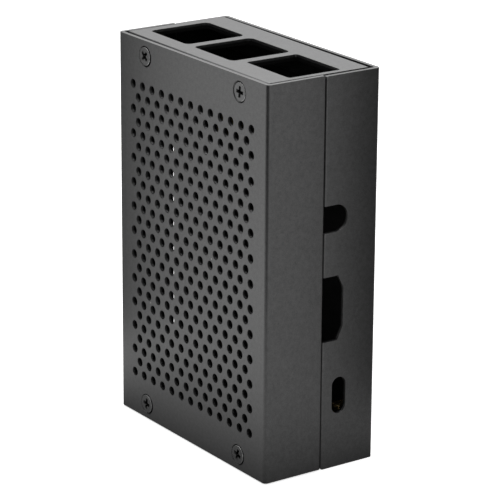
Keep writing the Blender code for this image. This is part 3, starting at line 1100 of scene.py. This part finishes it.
def ranged(tree: Any, value: Any, source: Sequence[Any] = (0.0, 1.0), target: Sequence[Any] = (0.0, 1.0),
           kind: str = "LINEAR") -> Any:
    """Map a value from one range to another.

    Args:
        tree: Node tree.
        value: Socket that is mapped.
        source: Ends of its own range, as numbers or sockets.
        target: Ends of the new range.
        kind: Blender's name of the interpolation.

    Returns:
        The mapped socket.
    """
    node = tree.nodes.new("ShaderNodeMapRange")
    node.interpolation_type = kind
    names = ("Value", "From Min", "From Max", "To Min", "To Max")
    for name, content in zip(names, (value, *source, *target)):
        feed(tree, node.inputs[name], content)
    return node.outputs["Result"]


class Mask(Enum):
    """Outputs of the shared node groups."""

    GRAIN = "Grain"
    WEAR = "Wear"
    DUST = "Dust"
    CLOUD = "Cloud"
    # Painted shade in hole walls, recesses and on inner faces, by depth under the skin.
    INSIDE = "Inside"


class NodeGroups:
    """Shader node groups that several finishes share; they put out masks and heights only."""

    def __init__(self, sizes: CaseSizes) -> None:
        """Build the groups once.

        Args:
            sizes: Sizes of the case.
        """
        self.grain = self._grain()
        self.wear = self._wear()
        self.dust = self._dust()
        self.cloud = self._cloud()
        self.inside = self._inside(sizes)

    @staticmethod
    def _new(name: str, inputs: dict[str, float], output: Mask) -> tuple[Any, Any, Any]:
        """Start a node group with float inputs, a vector input and one float output.

        Args:
            name: Name of the group.
            inputs: Name and default value of each float input.
            output: Name of its output.

        Returns:
            The group, the sockets of its inputs and the socket of its output.
        """
        group = bpy.data.node_groups.new(name, "ShaderNodeTree")
        group.interface.new_socket("Vector", in_out="INPUT", socket_type="NodeSocketVector")
        for key, value in inputs.items():
            socket = group.interface.new_socket(key, in_out="INPUT", socket_type="NodeSocketFloat")
            socket.default_value = value
        group.interface.new_socket(output.value, in_out="OUTPUT", socket_type="NodeSocketFloat")
        given = group.nodes.new("NodeGroupInput").outputs
        return group, given, group.nodes.new("NodeGroupOutput").inputs[0]

    @staticmethod
    def _noise(group: Any, given: Any, scale: str, detail: float, roughness: float) -> Any:
        """Add a noise texture that reads the group's vector and one of its inputs as its scale.

        Args:
            group: Node group.
            given: The sockets of its inputs.
            scale: Name of the input that holds the scale.
            detail: Octaves of the noise.
            roughness: Weight of the fine octaves.

        Returns:
            The noise.
        """
        noise = group.nodes.new("ShaderNodeTexNoise")
        values = {"Vector": given["Vector"], "Scale": given[scale], "Detail": detail, "Roughness": roughness}
        for key, value in values.items():
            feed(group, noise.inputs[key], value)
        return noise.outputs[0]

    def _grain(self) -> Any:
        """Build the fine blasted grain: two sizes of pits.

        Returns:
            The group.
        """
        inputs = {"Scale": 4000.0, "Coarse Scale": 1100.0, "Coarse Share": 0.4}
        group, given, result = self._new("fine_grain", inputs, Mask.GRAIN)
        fine = self._noise(group, given, "Scale", 2.0, 0.6)
        coarse = self._noise(group, given, "Coarse Scale", 2.0, 0.5)
        weighed = maths(group, "MULTIPLY", coarse, given["Coarse Share"])
        share = maths(group, "SUBTRACT", 1.0, given["Coarse Share"])
        rest = maths(group, "MULTIPLY", fine, share)
        feed(group, result, maths(group, "ADD", weighed, rest))
        return group

    def _wear(self) -> Any:
        """Build the wear of broken edges, where the metal shows through in places.

        Returns:
            The group.
        """
        group, given, result = self._new("edge_wear", {"Scale": 350.0, "Amount": 0.5}, Mask.WEAR)
        rim = group.nodes.new("ShaderNodeAttribute")
        rim.attribute_name = "rim"
        patches = self._noise(group, given, "Scale", 3.0, 0.6)
        highest, softness = 0.95, 0.3
        low = maths(group, "SUBTRACT", highest, given["Amount"])
        high = maths(group, "ADD", low, softness)
        worn = ranged(group, patches, (low, high), kind="SMOOTHSTEP")
        feed(group, result, maths(group, "MULTIPLY", rim.outputs["Fac"], worn))
        return group

    def _dust(self) -> Any:
        """Build sparse dust specks.

        Returns:
            The group.
        """
        group, given, result = self._new("dust_specks", {"Scale": 500.0, "Amount": 0.1}, Mask.DUST)
        cells = group.nodes.new("ShaderNodeTexVoronoi")
        for key in ("Vector", "Scale"):
            feed(group, cells.inputs[key], given[key])
        outer, inner = 0.22, 0.12
        speck = ranged(group, cells.outputs["Distance"], (outer, inner), kind="SMOOTHSTEP")
        chance = group.nodes.new("ShaderNodeSeparateColor")
        feed(group, chance.inputs[0], cells.outputs["Color"])
        kept = maths(group, "LESS_THAN", chance.outputs[0], given["Amount"])
        feed(group, result, maths(group, "MULTIPLY", speck, kept))
        return group

    def _cloud(self) -> Any:
        """Build the soft cloudiness of a dyed finish.

        Returns:
            The group.
        """
        group, given, result = self._new("dye_cloud", {"Scale": 60.0, "Contrast": 0.5}, Mask.CLOUD)
        noise = self._noise(group, given, "Scale", 4.0, 0.55)
        middle = 0.5
        centred = maths(group, "SUBTRACT", noise, middle)
        spread = maths(group, "MULTIPLY", centred, given["Contrast"])
        feed(group, result, maths(group, "ADD", spread, middle))
        return group

    def _inside(self, sizes: CaseSizes) -> Any:
        """Build the mask of painted shade, which grows with depth under the skin of the case: hole walls,
        recesses and inner faces.

        Args:
            sizes: Sizes of the case.

        Returns:
            The group.
        """
        group, given, result = self._new("inside", {"Start": 0.35 * MM, "End": 0.80 * MM}, Mask.INSIDE)
        half = (sizes.width / 2, sizes.depth / 2, sizes.height / 2)
        centred = vectors(group, "SUBTRACT", given["Vector"], (0, 0, half[2]))
        under = vectors(group, "SUBTRACT", half, vectors(group, "ABSOLUTE", centred))
        depths = group.nodes.new("ShaderNodeSeparateXYZ")
        feed(group, depths.inputs[0], under)
        least = maths(group, "MINIMUM", depths.outputs["X"], depths.outputs["Y"])
        least = maths(group, "MINIMUM", least, depths.outputs["Z"])
        limits = (given["Start"], given["End"])
        feed(group, result, ranged(group, least, limits, kind="SMOOTHSTEP"))
        return group


@dataclass(frozen=True)
class Finish:
    """One procedural finish."""

    name: str
    dark: tuple[float, ...]
    light: tuple[float, ...]
    bare: tuple[float, ...]
    roughness: float = 0.40
    roughness_spread: float = 0.03
    metallic: float = 0.0
    ior: float = 1.75
    grain_height: float = 0.003 * MM
    grain_scale: float = 4200.0
    coarse_scale: float = 1100.0
    grain_mix: float = 0.5
    grain_gloss: tuple[float, float] = (0.2, 0.8)
    cloud_scale: float = 60.0
    wear: float = 0.4
    wear_scale: float = 350.0
    dust: float = 0.004
    dust_scale: float = 700.0
    dust_mix: float = 0.5
    dust_colour: tuple[float, ...] = (0.42, 0.41, 0.39)
    # Share of the gloss left in the painted shade of hole walls, recesses and inner faces; 1 paints no
    # shade.
    painted_shade_gloss: float = 0.05

    def material(self, groups: NodeGroups) -> bpy.types.Material:
        """Build the finish as a material.

        Args:
            groups: The shared node groups.

        Returns:
            The material.
        """
        made = bpy.data.materials.new(self.name)
        made.use_nodes = True
        tree = made.node_tree
        place = tree.nodes.new("ShaderNodeTexCoord").outputs["Object"]

        def group(source: Any, **values: float) -> Any:
            """Place a shared group and give its output."""
            node = tree.nodes.new("ShaderNodeGroup")
            node.node_tree = source
            for key, value in {"Vector": place, **values}.items():
                feed(tree, node.inputs[key.replace("_", " ")], value)
            return node.outputs[0]

        def blend(factor: Any, first: Any, second: Any) -> Any:
            """Blend two colours by a mask and give the colour."""
            node = tree.nodes.new("ShaderNodeMix")
            node.data_type = "RGBA"
            feed(tree, node.inputs["Factor"], factor)
            for key, shade in (("A", first), ("B", second)):
                socket = next(item for item in node.inputs if item.name == key and item.type == "RGBA")
                feed(tree, socket, (*shade, 1) if isinstance(shade, tuple) else shade)
            return next(item for item in node.outputs if item.type == "RGBA")

        grain = group(groups.grain, Scale=self.grain_scale, Coarse_Scale=self.coarse_scale)
        wear = group(groups.wear, Scale=self.wear_scale, Amount=self.wear)
        dust = group(groups.dust, Scale=self.dust_scale, Amount=self.dust)
        cloud = group(groups.cloud, Scale=self.cloud_scale)
        # Painted shade: deeper under the skin, in holes, recesses and on inner faces, the finish turns
        # darker and duller.
        inside = group(groups.inside)
        colour = blend(cloud, self.dark, self.light)
        colour = blend(ranged(tree, grain, target=(0.0, self.grain_mix)), colour, self.light)
        colour = blend(ranged(tree, dust, target=(0.0, self.dust_mix)), colour, self.dust_colour)
        colour = blend(wear, colour, self.bare)
        # Painted shade: the colour goes to the dark tone in hole walls, recesses and on inner faces.
        if self.painted_shade_gloss < 1:
            colour = blend(inside, colour, self.dark)
        bump = tree.nodes.new("ShaderNodeBump")
        for key, value in (("Strength", 1.0), ("Distance", self.grain_height), ("Height", grain)):
            feed(tree, bump.inputs[key], value)
        rough_ends = (self.roughness - self.roughness_spread, self.roughness + self.roughness_spread)
        values = {
            "Base Color": colour,
            # Painted shade also dulls the gloss there.
            "Specular IOR Level": maths(tree, "MULTIPLY",
                                        ranged(tree, inside, target=(1.0, self.painted_shade_gloss)),
                                        ranged(tree, grain, target=self.grain_gloss)),
            "Roughness": ranged(tree, cloud, target=rough_ends),
            "Metallic": ranged(tree, wear, target=(self.metallic, 1.0)) if self.metallic < 1 else 1.0,
            "IOR": self.ior,
            "Normal": bump.outputs["Normal"],
        }
        for key, value in values.items():
            feed(tree, tree.nodes["Principled BSDF"].inputs[key], value)
        return made


FINISHES = {
    "anodised_cover": Finish("black_anodised_sheet", (0.006, 0.006, 0.006), (0.010, 0.010, 0.0103),
                             (0.40, 0.40, 0.41)),
    "anodised_end_plate": Finish("black_anodised_plate", (0.008, 0.008, 0.008), (0.013, 0.013, 0.0133),
                                 (0.45, 0.45, 0.46), roughness_spread=0.04, wear=0.45),
    "black_screw": Finish("blackened_steel", (0.006, 0.006, 0.006), (0.012, 0.012, 0.012),
                          (0.42, 0.42, 0.42), roughness=0.34, roughness_spread=0.05,
                          grain_height=0.002 * MM, grain_scale=2600.0, coarse_scale=900.0,
                          cloud_scale=400.0, wear=0.7, wear_scale=900.0),
    "brass_standoff": Finish("turned_brass", (0.34, 0.24, 0.10), (0.45, 0.33, 0.16), (0.52, 0.41, 0.23),
                             roughness=0.28, roughness_spread=0.08, metallic=1.0, ior=1.5,
                             grain_height=0.002 * MM, grain_scale=2400.0, coarse_scale=800.0,
                             cloud_scale=500.0, painted_shade_gloss=1.0),
}


@dataclass(frozen=True)
class PhotoCamera:
    """The photograph's camera, found from the lattice of holes, the edges and the openings."""

    place: tuple[float, float, float] = (0.49018, -0.34207, 0.24140)
    looks_along: tuple[float, float, float] = (-0.77822, 0.54522, -0.31161)
    right_hand: tuple[float, float, float] = (0.57203, 0.82021, 0.00650)
    lens: float = 192.96
    sensor: float = 36.0
    clip: tuple[float, float] = (0.05, 20.0)

    def build(self) -> None:
        """Make the camera, which the scene then looks through."""
        data = bpy.data.cameras.new("photo_camera")
        data.lens, data.sensor_width = self.lens, self.sensor
        data.clip_start, data.clip_end = self.clip
        camera = bpy.data.objects.new("photo_camera", data)
        bpy.context.scene.collection.objects.link(camera)
        back = -Vector(self.looks_along).normalized()
        up = back.cross(Vector(self.right_hand).normalized()).normalized()
        turn = Matrix((up.cross(back), up, back)).transposed().to_4x4()
        camera.matrix_world = Matrix.Translation(self.place) @ turn
        bpy.context.scene.camera = camera


@dataclass(frozen=True)
class Softbox:
    """One rectangular lamp."""

    name: str
    place: tuple[float, float, float]
    aim: tuple[float, float, float]
    size: tuple[float, float]
    power: float

    def build(self) -> None:
        """Make the lamp."""
        data = bpy.data.lights.new(self.name, "AREA")
        data.shape = "RECTANGLE"
        data.size, data.size_y = self.size
        data.energy = self.power
        lamp = bpy.data.objects.new(self.name, data)
        bpy.context.scene.collection.objects.link(lamp)
        lamp.location = self.place
        lamp.rotation_mode = "QUATERNION"
        lamp.rotation_quaternion = (Vector(self.aim) - Vector(self.place)).to_track_quat("-Z", "Y")


def reflections_only(thing: bpy.types.Object) -> bpy.types.Object:
    """Let a piece of the studio show in reflections alone.

    Args:
        thing: Card or sheet.

    Returns:
        The same object.
    """
    thing.visible_camera = thing.visible_shadow = False
    thing.visible_diffuse = thing.visible_transmission = False
    return thing


def paper(name: str, side: float, height: float, colour: float) -> tuple[bpy.types.Object, Any, Any]:
    """Lay a flat piece of matt grey, which emission can lift.

    Args:
        name: Name of the piece and of its material.
        side: Length of its sides.
        height: Height over the base of the case.
        colour: Its grey.

    Returns:
        The piece, its node tree and the input for the strength of its emission.
    """
    thing = fresh(name, bpy.ops.mesh.primitive_plane_add, size=side, location=(0, 0, 0))
    thing.location.z = height
    made = bpy.data.materials.new(name)
    made.use_nodes = True
    tree = made.node_tree
    inputs = tree.nodes["Principled BSDF"].inputs
    values = {"Base Color": (colour,) * 3 + (1,), "Roughness": MATT, "Specular IOR Level": 0.0,
              "Emission Color": WHITE}
    for key, value in values.items():
        feed(tree, inputs[key], value)
    thing.data.materials.append(made)
    return thing, tree, inputs["Emission Strength"]


@dataclass(frozen=True)
class Card:
    """An upright black or glowing grey card that darkens one side of the reflections."""

    name: str
    start: tuple[float, float]
    end: tuple[float, float]
    height: float
    glow: float = 0.0
    colour: float = 0.02

    def build(self) -> bpy.types.Object:
        """Make the card on the floor.

        Returns:
            The card.
        """
        start, end = Vector((*self.start, 0)), Vector((*self.end, 0))
        along = end - start
        card, tree, strength = paper(self.name, 1.0, 0.0, self.colour)
        feed(tree, strength, self.glow)
        size = Matrix.Diagonal((along.length, self.height, 1, 1))
        turn = Matrix.Rotation(math.atan2(along.y, along.x), 4, "Z") @ FACING_FRONT
        middle = (start + end) / 2 + Vector((0, 0, self.height / 2))
        card.matrix_world = Matrix.Translation(middle) @ turn @ size
        return reflections_only(card)


@dataclass(frozen=True)
class Sheet:
    """White sheet that only reflections see; its glow holds a painted shadow of the case round its base, and
    painted light that is brighter towards the front-left than towards the port side.
    """

    side: float = 3.0
    height: float = -0.03 * MM
    # Glow at the case's base, the darkest of the painted shadow.
    near: float = 0.11
    reach: float = 0.055
    reach_under: float = 0.25
    # Glow of the painted light towards the port side and towards the front-left.
    port_level: float = 0.97
    front_level: float = 1.40
    levels_along: tuple[float, float, float] = (-0.819, -0.574, 0.0)
    levels_blend: float = 0.05

    def build(self, sizes: CaseSizes) -> bpy.types.Object:
        """Make the sheet under the case.

        Args:
            sizes: Sizes of the case.

        Returns:
            The sheet.
        """
        sheet, tree, strength = paper("reflected_sheet", self.side, self.height, 0.0)
        place = tree.nodes.new("ShaderNodeTexCoord").outputs["Object"]
        half = (sizes.width / 2, sizes.depth / 2, 0.0)
        # Painted shadow of the case: the glow falls to near at the base and rises over reach.
        outside = vectors(tree, "SUBTRACT", vectors(tree, "ABSOLUTE", place), half)
        away = vectors(tree, "LENGTH", vectors(tree, "MAXIMUM", outside, (0, 0, 0)), output="Value")
        limits = (-self.reach * self.reach_under, self.reach)
        shade = ranged(tree, away, limits, (self.near, 1.0), "SMOOTHSTEP")
        # Painted light: brighter towards the front-left than towards the port side.
        across = vectors(tree, "DOT_PRODUCT", place, self.levels_along, output="Value")
        ends = (-self.levels_blend, self.levels_blend)
        tone = ranged(tree, across, ends, (self.port_level, self.front_level))
        feed(tree, strength, maths(tree, "MULTIPLY", shade, tone))
        return reflections_only(sheet)


@dataclass(frozen=True)
class Studio:
    """White floor, white surroundings, soft lamps and the cards that shape the reflections."""

    sizes: CaseSizes
    floor_side: float = 6.0
    floor_height: float = -0.05 * MM
    floor_colour: float = 0.80
    floor_lift: float = 0.70
    fill: float = 0.30
    lamps: tuple[Softbox, ...] = (
        Softbox("rear_softbox", (-0.30, 0.25, 0.50), (0, 0, 0.05), (0.5, 0.4), 1.45),
        Softbox("overhead_softbox", (0, 0, 0.80), (0, 0, 0), (0.8, 0.8), 4.0),
    )
    cards: tuple[Card, ...] = (
        Card("left_card", (-0.067, -0.045), (-0.107, 0.0126), 0.13),
        Card("right_card", (0.061, 0.028), (0.038, 0.061), 0.13),
        Card("front_card", (-0.070, -0.155), (0.015, -0.160), 0.30, 0.55),
        Card("camera_card", (0.015, -0.160), (0.125, -0.075), 0.30),
    )
    sheet: Sheet = Sheet()

    def _floor(self) -> bpy.types.Object:
        """Make the floor, which keeps the shadow and is white to the camera.

        Returns:
            The floor object.
        """
        floor, tree, strength = paper("studio_floor", self.floor_side, self.floor_height, self.floor_colour)
        feed(tree, strength, maths(tree, "MULTIPLY", self._seen(tree), self.floor_lift))
        return floor

    @staticmethod
    def _seen(tree: Any) -> Any:
        """Give a value that is 1 for camera, glossy and transmission rays.

        Args:
            tree: Node tree.

        Returns:
            The socket.
        """
        rays = tree.nodes.new("ShaderNodeLightPath").outputs
        shown = maths(tree, "MAXIMUM", rays["Is Camera Ray"], rays["Is Glossy Ray"])
        return maths(tree, "MAXIMUM", shown, rays["Is Transmission Ray"])

    def _world(self) -> None:
        """Make the world white to the camera and in reflections, and a dimmer fill elsewhere."""
        world = bpy.data.worlds.new("studio")
        bpy.context.scene.world = world
        world.use_nodes = True
        tree = world.node_tree
        inputs = tree.nodes["Background"].inputs
        feed(tree, inputs["Color"], WHITE)
        feed(tree, inputs["Strength"], ranged(tree, self._seen(tree), target=(self.fill, 1.0)))

    def build(self) -> None:
        """Make the floor, the world, the lamps and the cards."""
        for thing in (self._floor(), self.sheet.build(self.sizes), *(card.build() for card in self.cards)):
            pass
        self._world()
        for lamp in self.lamps:
            lamp.build()


class Case:
    """The whole case, dressed and riding on its body."""

    def __init__(self, sizes: CaseSizes) -> None:
        """Plan the parts of the case.

        Args:
            sizes: Sizes of the case.
        """
        screws = Screws()
        covers = Covers(sizes, screws)
        self.makers = (covers, EndPlates(sizes, screws, covers), Fasteners(sizes, screws, covers))
        self.groups = NodeGroups(sizes)

    def build(self) -> None:
        """Model every piece, give it its finish and let it stand for its node."""
        slots = {row["node"]: row["material_slot"] for row in frame["record"]["subparts"]}
        materials = {slot: finish.material(self.groups) for slot, finish in FINISHES.items()}
        for maker in self.makers:
            for node, piece in maker.build().items():
                slot = slots[node]
                piece.name = piece.data.name = f"fine_{node}"
                piece.data.materials.clear()
                piece.data.materials.append(materials[slot])
                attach(piece, BODY)
                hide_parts(node)
                LOG.info("%s: %d faces", piece.name, len(piece.data.polygons))
        for node, piece in frame["nodes"].items():
            piece.data.materials.clear()
            piece.data.materials.append(materials[slots[node]])


def main() -> None:
    """Build the camera, the studio and the case."""
    logging.basicConfig(level=logging.INFO, format="%(name)s: %(message)s")
    bpy.context.scene.view_settings.view_transform = "Standard"
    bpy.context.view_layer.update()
    sizes = CaseSizes()
    PhotoCamera().build()
    Studio(sizes).build()
    Case(sizes).build()


if __name__ == "__main__":
    main()
